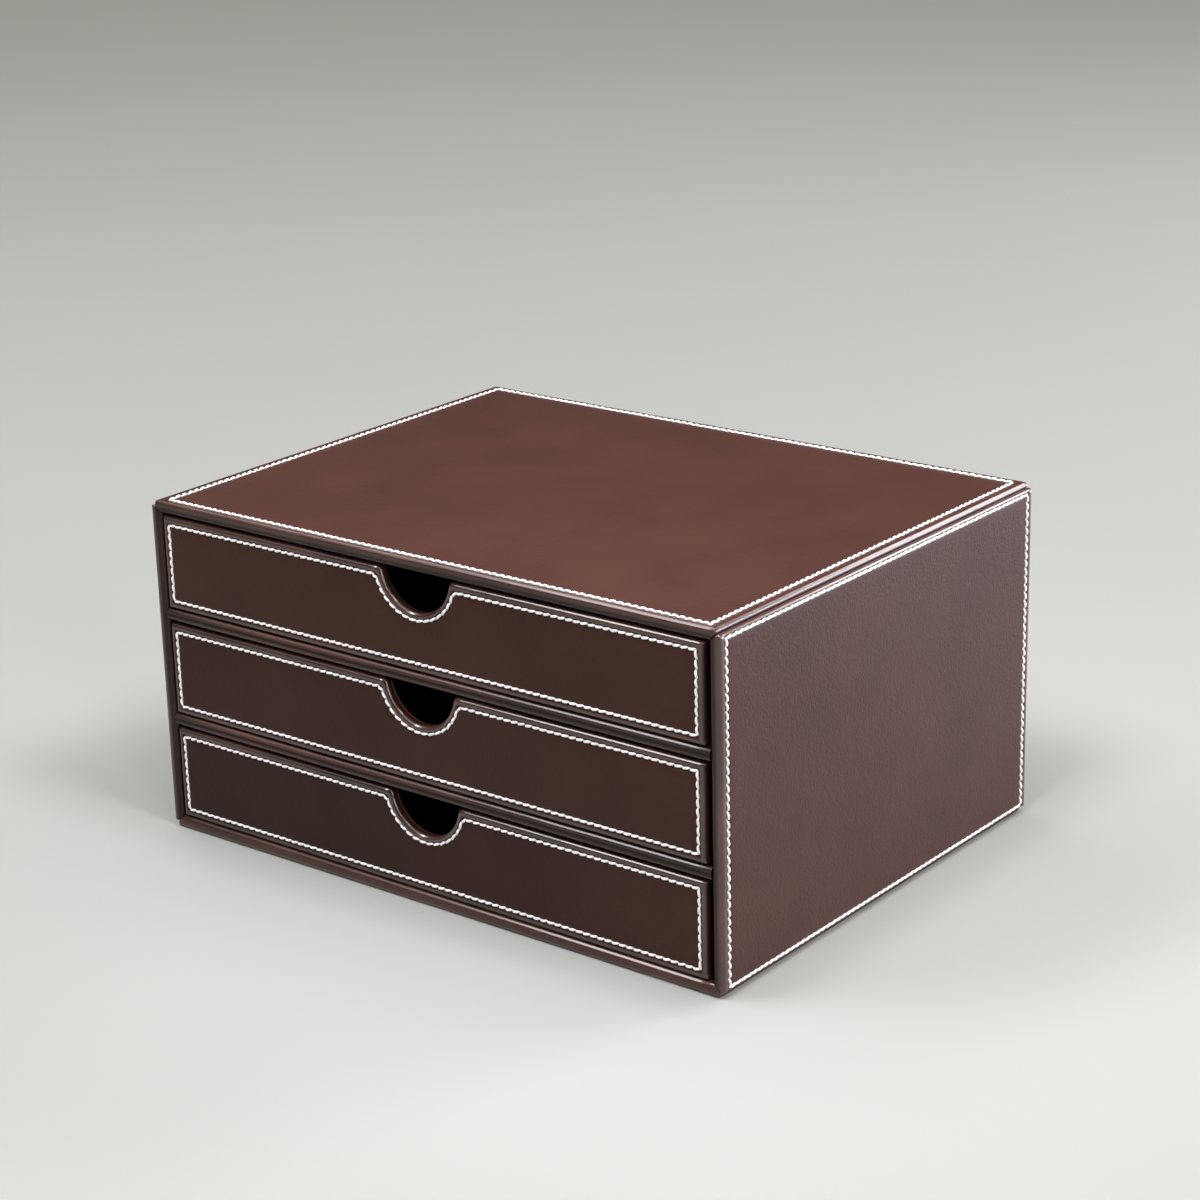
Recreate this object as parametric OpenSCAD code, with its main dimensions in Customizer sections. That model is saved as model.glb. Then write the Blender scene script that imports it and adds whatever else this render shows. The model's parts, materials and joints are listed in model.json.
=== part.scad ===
// Three-drawer stationery box for A4 papers: fibreboard panels wrapped in leather,
// sewn round their edges with white thread and glued together with mitred corners.
// The box stands on Z = 0, its drawers face -Y, and X runs across the front.

/* [Cabinet] */
// Width over the two side panels
box_w = 330; // [322:1:420]
// Depth from the front edges to the rear edges
box_d = 250; // [236:1:340]
// Height from the table to the top panel
box_h = 166; // [140:1:240]
// How far the back panel sits in from the rear edges
back_inset = 2; // [0.5:0.5:6]

/* [Wrapped panels] */
// Thickness of the fibreboard in the panels and shelves
board_t = 4; // [3:0.5:6]
// Thickness of the leather cover
cover_t = 1; // [0.8:0.1:1.2]
// Thickness of the lining sheet on a panel's inner face
lining_t = 1; // [0.6:0.1:1.2]
// Thickness of the felt let into the underside
felt_t = 1; // [0.6:0.1:1.4]
// Radius of the wrapped edges
edge_r = 1.8; // [1.5:0.1:2.1]
// Width of the leather turned in behind the cabinet's edges
turn_in = 14; // [8:1:25]

/* [Sewing] */
// Thickness of the thread
thread_d = 1.1; // [0.8:0.1:1.3]
// Distance from one stitch to the next
stitch_pitch = 4; // [3.5:0.1:6]
// Depth of the furrow that the thread pulls into the leather
seam_depth = 0.6; // [0.3:0.1:0.6]
// Space between the thread and each wall of its furrow
seam_play = 0.35; // [0.2:0.05:0.6]
// Distance from a panel's edge to its seam
seam_inset = 4.6; // [4:0.1:8]
// Distance from the outer side faces to the seam on the top panel
top_seam_side = 8; // [7:0.1:12]
// Distance from a drawer front's edge to its seam
front_seam_inset = 4.1; // [3.5:0.1:6]
// Distance from a finger notch to the seam round it
notch_seam = 3.4; // [3:0.1:5]

/* [Drawers] */
// Radius of the finger notch
notch_r = 20; // [12:0.5:21]
// Height of the notch's centre over the top edge of its drawer front
notch_rise = 2; // [0:0.5:4]
// Space beside a drawer on its left
play_left = 0.5; // [0.3:0.1:2]
// Space beside a drawer on its right
play_right = 2.8; // [0.3:0.1:4]
// Space under a drawer
slide_gap = 0.3; // [0.2:0.1:0.8]
// Space over a drawer front
head_gap = 1.2; // [0.6:0.1:2]
// How far a drawer front sits behind the cabinet's front edges
front_setback = 0.8; // [0.6:0.1:3]
// Space behind a closed drawer
tail_gap = 0.5; // [0.3:0.1:4]
// Width of the leather turned in behind a drawer front
front_turn_in = 8; // [6:0.5:10]
// Width of the leather turned in behind a finger notch
notch_turn_in = 6; // [4:0.5:7]

/* [Drawer trays] */
// Thickness of the fibreboard walls
wall_t = 3; // [2:0.5:4]
// Thickness of the fibreboard floor
floor_t = 3; // [2:0.5:4]
// Thickness of the leather wrapped round the outside of a tray
wrap_t = 0.8; // [0.5:0.1:1.2]
// Thickness of the velvet liner
liner_t = 0.8; // [0.5:0.1:1.5]
// How much narrower a tray is than its front, on each side
tray_inset = 1; // [0.5:0.5:3]
// How much lower a tray is than its front
tray_drop = 4; // [2:0.5:8]

/* [Hidden] */
LEVELS = ["upper", "middle", "lower"];
DRAWER_PIECES = [
    "front_board", "front_cover", "front_lining", "front_stitching",
    "left_wall", "right_wall", "back_wall", "floor", "wrap", "liner"
];
CABINET_NODES = [
    "top_board", "top_cover", "top_lining", "top_stitching",
    "left_board", "left_cover", "left_lining", "left_stitching",
    "right_board", "right_cover", "right_lining", "right_stitching",
    "bottom_board", "bottom_cover", "base_felt",
    "back_board", "back_cover", "back_lining", "back_stitching",
    "upper_shelf_board", "upper_shelf_cover", "lower_shelf_board", "lower_shelf_cover"
];

LEATHER = "#56403a";
LINING = "#2a2221";
BOARD = "#a98a62";
THREAD = "#f3eee6";
FELT = "#1f1d1d";

arc_steps = 5;         // facets in each quarter of a wrapped edge
cut_past = 1;          // how far a cutter runs past the face that it opens
stitch_clear = 0.1;    // space between two stitches that meet at a corner

panel_t = board_t + cover_t + lining_t;
shelf_t = board_t + 2 * cover_t;
tip_back = edge_r / tan(22.5);        // where a mitred edge's rounding starts on its outer face
mitre_back = cover_t * sqrt(2);       // the leather between two mitred boards, along the panel
seam_w = thread_d + 2 * seam_play;

opening_w = box_w - 2 * panel_t;
opening_h = (box_h - 2 * panel_t - 2 * shelf_t) / 3;
bay_pitch = opening_h + shelf_t;
back_face_y = box_d / 2 - back_inset - panel_t;
shelf_d = back_face_y + box_d / 2;

front_w = opening_w - play_left - play_right;
front_h = opening_h - slide_gap - head_gap;
drawer_x = (play_left - play_right) / 2;
drawer_y = -box_d / 2 + front_setback;
tray_end = back_face_y - tail_gap - drawer_y;
tray_w = front_w - 2 * tray_inset;
tray_h = front_h - tray_drop;

// ---- Outlines -------------------------------------------------------------------------

function arc_points(x, y, r, from, to) = [
    for (i = [0:arc_steps])
        let (a = from + (to - from) * i / arc_steps)
            [x + r * cos(a), y + r * sin(a)]
];

// Across a panel from mitre to mitre: inner face at 0, outer face at panel_t.
function mitred_section(length) =
    let (half = length / 2, top = panel_t - edge_r)
        concat(
            [[panel_t - half, 0], [half - panel_t, 0]],
            arc_points(half - tip_back, top, edge_r, -45, 90),
            arc_points(tip_back - half, top, edge_r, 90, 225)
        );

// The board inside such a panel, between two heights, blunt under the rounded leather.
function core_section(length, low, high) =
    let (
        half = length / 2,
        foot = half - panel_t + low - mitre_back,
        blunt = half - tip_back,
        turn = panel_t - tip_back + mitre_back
    )
        [[-foot, low], [foot, low], [blunt, turn], [blunt, high], [-blunt, high], [-blunt, turn]];

// A flat piece with four wrapped edges, centred across, standing on 0.
function rounded_section(width, thick) =
    let (x = width / 2 - edge_r, top = thick - edge_r)
        concat(
            arc_points(x, edge_r, edge_r, -90, 0),
            arc_points(x, top, edge_r, 0, 90),
            arc_points(-x, top, edge_r, 90, 180),
            arc_points(-x, edge_r, edge_r, 180, 270)
        );

// ---- Shared solids, drawn flat with the outer face up ----------------------------------

module along_y(length) rotate([90, 0, 0]) linear_extrude(length, center = true) children();
module along_x(length) rotate([90, 0, 90]) linear_extrude(length, center = true) children();
module slab(width, depth, low, high)
    translate([-width / 2, -depth / 2, low]) cube([width, depth, high - low]);

module mitred_blank(length)
    intersection() {
        along_y(box_d + 2 * cut_past) polygon(mitred_section(length));
        along_x(length + 2 * cut_past) polygon(rounded_section(box_d, panel_t));
    }

module mitred_core(length, low, high)
    along_y(box_d - 2 * cover_t) polygon(core_section(length, low, high));

module rounded_blank(width, depth)
    intersection() {
        along_y(depth + 2 * cut_past) polygon(rounded_section(width, panel_t));
        along_x(width + 2 * cut_past) polygon(rounded_section(depth, panel_t));
    }

// ---- Sewing ----------------------------------------------------------------------------

module seam_furrow()
    translate([0, 0, panel_t - seam_depth]) linear_extrude(seam_depth + cut_past) children();

module seam_ring(half_x, half_y)
    difference() {
        square([2 * half_x + seam_w, 2 * half_y + seam_w], center = true);
        square([2 * half_x - seam_w, 2 * half_y - seam_w], center = true);
    }

module stitch(step)
    rotate([0, 90, 0])
        cylinder(d = thread_d, h = step - thread_d - stitch_clear, center = true, $fn = 16);

module at_seam_height() translate([0, 0, panel_t - seam_depth + thread_d / 2]) children();

module stitch_run(start, end) {
    run = norm(end - start);
    count = round(run / stitch_pitch);
    step = run / count;
    turn = atan2(end.y - start.y, end.x - start.x);
    translate([start.x, start.y, 0]) rotate([0, 0, turn])
        for (i = [0:count - 1]) translate([(i + 0.5) * step, 0, 0]) stitch(step);
}

module stitch_arc(r, from, to) {
    run = r * (to - from) * PI / 180;
    count = round(run / stitch_pitch);
    for (i = [0:count - 1])
        rotate([0, 0, from + (to - from) * (i + 0.5) / count])
            translate([r, 0, 0]) rotate([0, 0, 90]) stitch(run / count);
}

module stitch_frame(half_x, half_y) {
    corners = [[-half_x, -half_y], [half_x, -half_y], [half_x, half_y], [-half_x, half_y]];
    for (i = [0:3]) stitch_run(corners[i], corners[(i + 1) % 4]);
}

// ---- Cabinet panels --------------------------------------------------------------------

module at_top() translate([0, 0, box_h - panel_t]) children();
module at_bottom() translate([0, 0, panel_t]) rotate([0, 180, 0]) children();
module at_left() translate([panel_t - box_w / 2, 0, box_h / 2]) rotate([0, -90, 0]) children();
module at_right() translate([box_w / 2 - panel_t, 0, box_h / 2]) rotate([0, 90, 0]) children();
module at_back() translate([0, back_face_y, box_h / 2]) rotate([90, 0, 180]) children();

module panel_board(length) color(BOARD) mitred_core(length, lining_t, panel_t - cover_t);

module panel_lining(length)
    color(LINING) slab(length - 2 * panel_t, box_d - 2 * turn_in, 0, lining_t);

module panel_cover(length, seam_x, seam_y)
    color(LEATHER) difference() {
        mitred_blank(length);
        mitred_core(length, lining_t, panel_t - cover_t);
        slab(length - 2 * panel_t, box_d - 2 * turn_in, -cut_past, lining_t);
        seam_furrow() seam_ring(seam_x, seam_y);
    }

module panel_stitching(seam_x, seam_y)
    color(THREAD) at_seam_height() stitch_frame(seam_x, seam_y);

top_seam_x = box_w / 2 - top_seam_side;
side_seam_x = box_h / 2 - seam_inset;
panel_seam_y = box_d / 2 - seam_inset;

module top_board() at_top() panel_board(box_w);
module top_cover() at_top() panel_cover(box_w, top_seam_x, panel_seam_y);
module top_lining() at_top() panel_lining(box_w);
module top_stitching() at_top() panel_stitching(top_seam_x, panel_seam_y);

module left_board() at_left() panel_board(box_h);
module left_cover() at_left() panel_cover(box_h, side_seam_x, panel_seam_y);
module left_lining() at_left() panel_lining(box_h);
module left_stitching() at_left() panel_stitching(side_seam_x, panel_seam_y);

module right_board() at_right() panel_board(box_h);
module right_cover() at_right() panel_cover(box_h, side_seam_x, panel_seam_y);
module right_lining() at_right() panel_lining(box_h);
module right_stitching() at_right() panel_stitching(side_seam_x, panel_seam_y);

// The bottom panel is wrapped the other way round: leather under the drawer, felt below.
felt_w = box_w - 2 * turn_in;
felt_d = box_d - 2 * turn_in;

module bottom_board() color(BOARD) at_bottom() mitred_core(box_w, cover_t, panel_t - felt_t);

module bottom_cover()
    color(LEATHER) at_bottom() difference() {
        mitred_blank(box_w);
        mitred_core(box_w, cover_t, panel_t - felt_t);
        slab(felt_w, felt_d, panel_t - felt_t, panel_t + cut_past);
    }

module base_felt() color(FELT) at_bottom() slab(felt_w, felt_d, panel_t - felt_t, panel_t);

// The back panel stands between the other four.
back_h = box_h - 2 * panel_t;
back_seam_x = opening_w / 2 - seam_inset;
back_seam_y = back_h / 2 - seam_inset;

module back_core()
    slab(opening_w - 2 * cover_t, back_h - 2 * cover_t, lining_t, panel_t - cover_t);

module back_board() color(BOARD) at_back() back_core();

module back_cover()
    color(LEATHER) at_back() difference() {
        rounded_blank(opening_w, back_h);
        back_core();
        slab(opening_w - 2 * turn_in, back_h - 2 * turn_in, -cut_past, lining_t);
        seam_furrow() seam_ring(back_seam_x, back_seam_y);
    }

module back_lining()
    color(LINING) at_back()
        slab(opening_w - 2 * turn_in, back_h - 2 * turn_in, 0, lining_t);

module back_stitching()
    color(THREAD) at_back() at_seam_height() stitch_frame(back_seam_x, back_seam_y);

// ---- Shelves ---------------------------------------------------------------------------

function shelf_z(bay) = panel_t + bay * bay_pitch - shelf_t;

module at_shelf(bay)
    translate([0, -box_d / 2 + shelf_d / 2, shelf_z(bay)]) children();

module shelf_board(bay)
    color(BOARD) at_shelf(bay)
        slab(opening_w, shelf_d - 2 * cover_t, cover_t, shelf_t - cover_t);

module shelf_cover(bay)
    color(LEATHER) at_shelf(bay) difference() {
        along_x(opening_w) polygon(rounded_section(shelf_d, shelf_t));
        slab(opening_w + 2 * cut_past, shelf_d - 2 * cover_t, cover_t, shelf_t - cover_t);
    }

module lower_shelf_board() shelf_board(1);
module lower_shelf_cover() shelf_cover(1);
module upper_shelf_board() shelf_board(2);
module upper_shelf_cover() shelf_cover(2);

// ---- Drawers ---------------------------------------------------------------------------
// Inside a drawer's own frame the front's outer face is Y = 0 and its foot is Z = 0.

module in_drawer(level)
    translate([drawer_x, drawer_y, panel_t + slide_gap + (2 - level) * bay_pitch]) children();

// Stands a flat front upright: its outer face to -Y, its top edge up.
module upright() translate([0, panel_t, front_h / 2]) rotate([90, 0, 0]) children();

notch_y = front_h / 2 + notch_rise;

module notch(r)
    translate([0, notch_y, -cut_past]) cylinder(r = r, h = panel_t + 2 * cut_past, $fn = 96);

module front_core()
    difference() {
        slab(front_w - 2 * cover_t, front_h - 2 * cover_t, lining_t, panel_t - cover_t);
        notch(notch_r + cover_t);
    }

module front_inlay(low)
    difference() {
        slab(front_w - 2 * front_turn_in, front_h - 2 * front_turn_in, low, lining_t);
        notch(notch_r + notch_turn_in);
    }

front_seam_x = front_w / 2 - front_seam_inset;
front_seam_y = front_h / 2 - front_seam_inset;
notch_seam_r = notch_r + notch_seam;
notch_seam_drop = front_seam_inset + notch_rise;
notch_seam_x = sqrt(pow(notch_seam_r, 2) - pow(notch_seam_drop, 2));
notch_seam_turn = asin(notch_seam_drop / notch_seam_r);

module front_seam_area(grow)
    difference() {
        square([2 * (front_seam_x + grow), 2 * (front_seam_y + grow)], center = true);
        translate([0, notch_y]) circle(r = notch_seam_r - grow, $fn = 96);
    }

module front_board(level) color(BOARD) in_drawer(level) upright() front_core();

module front_cover(level)
    color(LEATHER) in_drawer(level) upright() difference() {
        rounded_blank(front_w, front_h);
        notch(notch_r);
        front_core();
        front_inlay(-cut_past);
        seam_furrow() difference() {
            front_seam_area(seam_w / 2);
            front_seam_area(-seam_w / 2);
        }
    }

module front_lining(level) color(LINING) in_drawer(level) upright() front_inlay(0);

module front_stitching(level)
    color(THREAD) in_drawer(level) upright() at_seam_height() {
        stitch_run([-front_seam_x, front_seam_y], [-front_seam_x, -front_seam_y]);
        stitch_run([-front_seam_x, -front_seam_y], [front_seam_x, -front_seam_y]);
        stitch_run([front_seam_x, -front_seam_y], [front_seam_x, front_seam_y]);
        stitch_run([front_seam_x, front_seam_y], [notch_seam_x, front_seam_y]);
        stitch_run([-notch_seam_x, front_seam_y], [-front_seam_x, front_seam_y]);
        translate([0, notch_y, 0])
            stitch_arc(notch_seam_r, 180 + notch_seam_turn, 360 - notch_seam_turn);
    }

// The tray behind the front: walls glued on a floor, wrapped outside and lined inside.
core_w = tray_w - 2 * wrap_t;
core_end = tray_end - wrap_t;
wall_foot = wrap_t + floor_t;
wall_top = tray_h - wrap_t;
inner_w = core_w - 2 * wall_t;
inner_end = core_end - wall_t;

module block(x0, x1, y0, y1, z0, z1) translate([x0, y0, z0]) cube([x1 - x0, y1 - y0, z1 - z0]);

module side_wall(level, side)
    color(BOARD) in_drawer(level)
        translate([side * (core_w - wall_t) / 2, 0, 0])
            block(-wall_t / 2, wall_t / 2, panel_t, core_end, wall_foot, wall_top);

module back_wall(level)
    color(BOARD) in_drawer(level)
        block(-inner_w / 2, inner_w / 2, inner_end, core_end, wall_foot, wall_top);

module tray_floor(level)
    color(BOARD) in_drawer(level)
        block(-core_w / 2, core_w / 2, panel_t, core_end, wrap_t, wall_foot);

module tray_wrap(level)
    color(LEATHER) in_drawer(level) difference() {
        block(-tray_w / 2, tray_w / 2, panel_t, tray_end, 0, tray_h);
        block(-core_w / 2, core_w / 2, panel_t - cut_past, core_end, wrap_t, wall_top);
        block(-inner_w / 2, inner_w / 2, panel_t - cut_past, inner_end, wall_foot, tray_h + cut_past);
    }

module tray_liner(level)
    color(FELT) in_drawer(level) difference() {
        block(-inner_w / 2, inner_w / 2, panel_t, inner_end, wall_foot, tray_h);
        block(
            liner_t - inner_w / 2, inner_w / 2 - liner_t,
            panel_t - cut_past, inner_end - liner_t,
            wall_foot + liner_t, tray_h + cut_past
        );
    }

top_board();
top_cover();
top_lining();
top_stitching();
left_board();
left_cover();
left_lining();
left_stitching();
right_board();
right_cover();
right_lining();
right_stitching();
bottom_board();
bottom_cover();
base_felt();
back_board();
back_cover();
back_lining();
back_stitching();
upper_shelf_board();
upper_shelf_cover();
lower_shelf_board();
lower_shelf_cover();
for (i = [0:2]) {
    name = str(LEVELS[i], "_drawer_");
    front_board(i);
    front_cover(i);
    front_lining(i);
    front_stitching(i);
    side_wall(i, -1);
    side_wall(i, 1);
    back_wall(i);
    tray_floor(i);
    tray_wrap(i);
    tray_liner(i);
}
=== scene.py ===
import json
import math
import random
import bmesh
import bpy
from mathutils import Matrix, Vector, noise


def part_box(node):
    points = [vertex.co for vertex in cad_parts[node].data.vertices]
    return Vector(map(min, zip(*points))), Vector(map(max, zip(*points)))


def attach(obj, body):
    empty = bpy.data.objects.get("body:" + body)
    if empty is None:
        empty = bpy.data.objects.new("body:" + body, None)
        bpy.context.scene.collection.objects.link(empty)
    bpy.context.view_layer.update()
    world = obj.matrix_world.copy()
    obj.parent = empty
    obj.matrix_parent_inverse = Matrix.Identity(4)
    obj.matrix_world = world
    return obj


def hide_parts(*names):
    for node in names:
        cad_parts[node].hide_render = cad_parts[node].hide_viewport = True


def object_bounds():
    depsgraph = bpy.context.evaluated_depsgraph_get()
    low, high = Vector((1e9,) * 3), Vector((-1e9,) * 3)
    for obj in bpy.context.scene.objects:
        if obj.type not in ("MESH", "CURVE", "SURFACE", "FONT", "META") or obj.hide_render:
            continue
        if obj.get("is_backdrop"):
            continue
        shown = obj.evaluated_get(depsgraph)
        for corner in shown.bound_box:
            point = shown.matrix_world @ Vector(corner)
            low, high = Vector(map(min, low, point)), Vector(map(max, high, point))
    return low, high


# Stationery box: three drawers in a cabinet of boards wrapped in coffee-brown PU leather,
# sewn round with white thread. Sizes below are in millimetres unless a note says otherwise.
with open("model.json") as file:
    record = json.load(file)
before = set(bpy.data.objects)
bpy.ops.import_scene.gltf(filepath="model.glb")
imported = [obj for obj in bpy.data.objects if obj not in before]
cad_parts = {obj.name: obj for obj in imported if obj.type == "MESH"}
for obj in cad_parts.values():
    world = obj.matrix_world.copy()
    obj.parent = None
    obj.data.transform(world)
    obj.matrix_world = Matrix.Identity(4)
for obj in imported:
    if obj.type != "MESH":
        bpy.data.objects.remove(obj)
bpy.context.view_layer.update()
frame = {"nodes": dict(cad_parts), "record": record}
nodes = frame["nodes"]
mm = 0.001
levels = ["upper", "middle", "lower"]


# Camera, floor and light.
cameraLook = {
    "azimuth": 38.468,  # degrees round from the front towards the right side
    "elevation": 18.849,  # degrees above the floor
    "roll": -1.460,  # degrees
    "distance": 1431.7,  # along the view, from the lens to the box's origin
    "across": 0.7,  # how far the lens stands to the right of the origin
    "above": 105.9,  # and above it, both in the plane of the picture
    "lens": 88.22,
    "sensor": 36.0,
}


def placeCamera(look):
    turn, rise, roll = (math.radians(look[key]) for key in ("azimuth", "elevation", "roll"))
    back = Vector((math.sin(turn) * math.cos(rise), -math.cos(turn) * math.cos(rise), math.sin(rise)))
    level = Vector((math.cos(turn), math.sin(turn), 0))
    upright = back.cross(level)
    right = level * math.cos(roll) + upright * math.sin(roll)
    up = upright * math.cos(roll) - level * math.sin(roll)
    spot = (back * look["distance"] + right * look["across"] + up * look["above"]) * mm
    data = bpy.data.cameras.new("camera")
    data.lens = look["lens"]
    data.sensor_width = look["sensor"]
    data.clip_end = 30
    camera = bpy.data.objects.new("camera", data)
    bpy.context.scene.collection.objects.link(camera)
    camera.matrix_world = Matrix.Translation(spot) @ Matrix((right, up, back)).transposed().to_4x4()
    bpy.context.scene.camera = camera


placeCamera(cameraLook)
print("camera placed")


def linearColour(code):
    parts = [int(code[i:i + 2], 16) / 255 for i in (1, 3, 5)]
    return tuple(p / 12.92 if p <= 0.04045 else ((p + 0.055) / 1.055) ** 2.4 for p in parts) + (1.0,)


def addNode(tree, kind, settings=None, values=None, links=None):
    node = tree.nodes.new(kind)
    for key, value in (settings or {}).items():
        setattr(node, key, value)
    for key, value in (values or {}).items():
        node.inputs[key].default_value = value
    for key, socket in (links or {}).items():
        tree.links.new(socket, node.inputs[key])
    return node


def newMaterial(name):
    material = bpy.data.materials.new(name)
    material.use_nodes = True
    tree = material.node_tree
    tree.nodes.clear()
    return material, tree


stageLook = {
    "floorColour": "#a5a9a6",  # matt pale table top
    "floorFleck": "#a1a6a3",
    "floorSize": 30000,
    "fleckScale": 6.0,
    "floorRoughness": 0.55,
    "floorSpecular": 0.2,
    "domeColour": "#fff6ee",
    "domeStrength": 1.75,  # straight overhead
    "domeLow": 0.55,  # sine of the height over the horizon where the dome starts
    "domeFull": 0.95,  # and where it is at full strength
    "horizon": 0.03,  # share of the strength that is left below that
}
lampLook = [
    # name, direction from the box, way its height runs, distance, width and height in m, power in W, colour
    ("front key", (0.73, -0.53, 0.44), (-0.51, 0, 0.86), 1.6, 0.12, 1.1, 6.0, "#fffaf8"),
    ("top key", (0.26, -0.20, 0.94), (0, 1, 0), 0.58, 0.14, 0.14, 2.3, "#f8f4ff"),
    ("left softbox", (-0.55, 0.10, 0.83), (0, 0, 1), 3.0, 1.8, 1.0, 18.0, "#f4f8ff"),
    ("front strip", (-0.50, -0.465, 0.730), (0, 0.844, 0.538), 2.2, 0.30, 1.6, 22.0, "#fcfcff"),
    ("back strip", (0.42, 0.786, 0.457), (-0.73, 0, 0.68), 2.5, 0.35, 1.6, 34.0, "#fffaf8"),
    ("right softbox", (0.90, -0.05, 0.34), (0, 0, 1), 2.5, 1.2, 1.0, 24.0, "#fff2f0"),
    ("low side light", (0.62, 0.78, 0.062), (0, 0, 1), 2.4, 1.8, 0.28, 50.0, "#e8ecff"),
]


def buildStage(look, lamps):
    scene = bpy.context.scene
    scene.view_settings.view_transform = "Standard"
    world = bpy.data.worlds.new("studio")
    world.use_nodes = True
    background = world.node_tree.nodes["Background"]
    background.inputs["Color"].default_value = linearColour(look["domeColour"])
    sky = addNode(world.node_tree, "ShaderNodeTexCoord")
    height = addNode(world.node_tree, "ShaderNodeSeparateXYZ", links={0: sky.outputs["Generated"]})
    dome = addNode(world.node_tree, "ShaderNodeMapRange", settings={"interpolation_type": "SMOOTHSTEP"},
                   values={"From Min": look["domeLow"], "From Max": look["domeFull"],
                           "To Min": look["horizon"] * look["domeStrength"], "To Max": look["domeStrength"]},
                   links={"Value": height.outputs["Z"]})
    world.node_tree.links.new(dome.outputs["Result"], background.inputs["Strength"])
    scene.world = world
    half = look["floorSize"] * mm / 2
    mesh = bpy.data.meshes.new("floor")
    corners = [(-half, -half), (half, -half), (half, half), (-half, half)]
    mesh.from_pydata([(x, y, -0.05 * mm) for x, y in corners], [], [(0, 1, 2, 3)])
    floor = bpy.data.objects.new("floor", mesh)
    scene.collection.objects.link(floor)
    material, tree = newMaterial("matt pale laminate")
    coord = addNode(tree, "ShaderNodeTexCoord")
    speckle = addNode(tree, "ShaderNodeTexNoise", values={"Scale": look["fleckScale"], "Detail": 3.0},
                      links={"Vector": coord.outputs["Object"]})
    shade = addNode(tree, "ShaderNodeMixRGB", values={"Color1": linearColour(look["floorColour"]),
                    "Color2": linearColour(look["floorFleck"])}, links={"Fac": speckle.outputs["Fac"]})
    skin = addNode(tree, "ShaderNodeBsdfPrincipled",
                   values={"Roughness": look["floorRoughness"], "Specular IOR Level": look["floorSpecular"]},
                   links={"Base Color": shade.outputs["Color"]})
    addNode(tree, "ShaderNodeOutputMaterial", links={"Surface": skin.outputs["BSDF"]})
    mesh.materials.append(material)
    floor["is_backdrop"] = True
    for name, direction, upright, distance, wide, high, power, colour in lamps:
        data = bpy.data.lights.new(name, "AREA")
        data.shape = "RECTANGLE"
        data.size = wide
        data.size_y = high
        data.energy = power
        data.color = linearColour(colour)[:3]
        lamp = bpy.data.objects.new(name, data)
        scene.collection.objects.link(lamp)
        away = Vector(direction).normalized()
        across = Vector(upright).cross(away).normalized()
        turned = Matrix((across, away.cross(across), away)).transposed()
        lamp.matrix_world = Matrix.Translation(away * distance) @ turned.to_4x4()
        lamp.visible_camera = False


buildStage(stageLook, lampLook)
print("stage and", len(lampLook), "lamps set")


# Finishes.
leatherLook = {
    "deep": "#3a221c",  # coffee brown in the folds of the dye
    "light": "#41271f",
    "dark": "#20120f",  # painted shade, mixed in by the "shade" attribute on the shelf covers, turned-in edges, notch walls and the fronts' ends
    "burnishAndHighlight": "#7a5a4e",  # the paler brown of leather rubbed over an edge, which also serves as a painted highlight there
    "tan": "#cf7f5c",  # painted warm highlight, a reflection painted along the shelf, bottom and front edges and the notch rims
    "grain": 1.3,  # width of one embossed pebble
    "grainDepth": 0.10,
    "crease": 3.4,  # width of the softer creases between groups of pebbles
    "creaseDepth": 0.07,
    "cloud": 38.0,  # width of the dye's soft clouds
    "wave": 30.0,  # width of the board's slight waves under the leather
    "waveDepth": 0.05,
    "specular": 0.17,  # the embossed film's own faint gloss
    "polish": 0.9,  # how strongly a rubbed edge shines
    "polishRoughness": 0.15,
    "polishIndex": 1.7,
}


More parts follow.
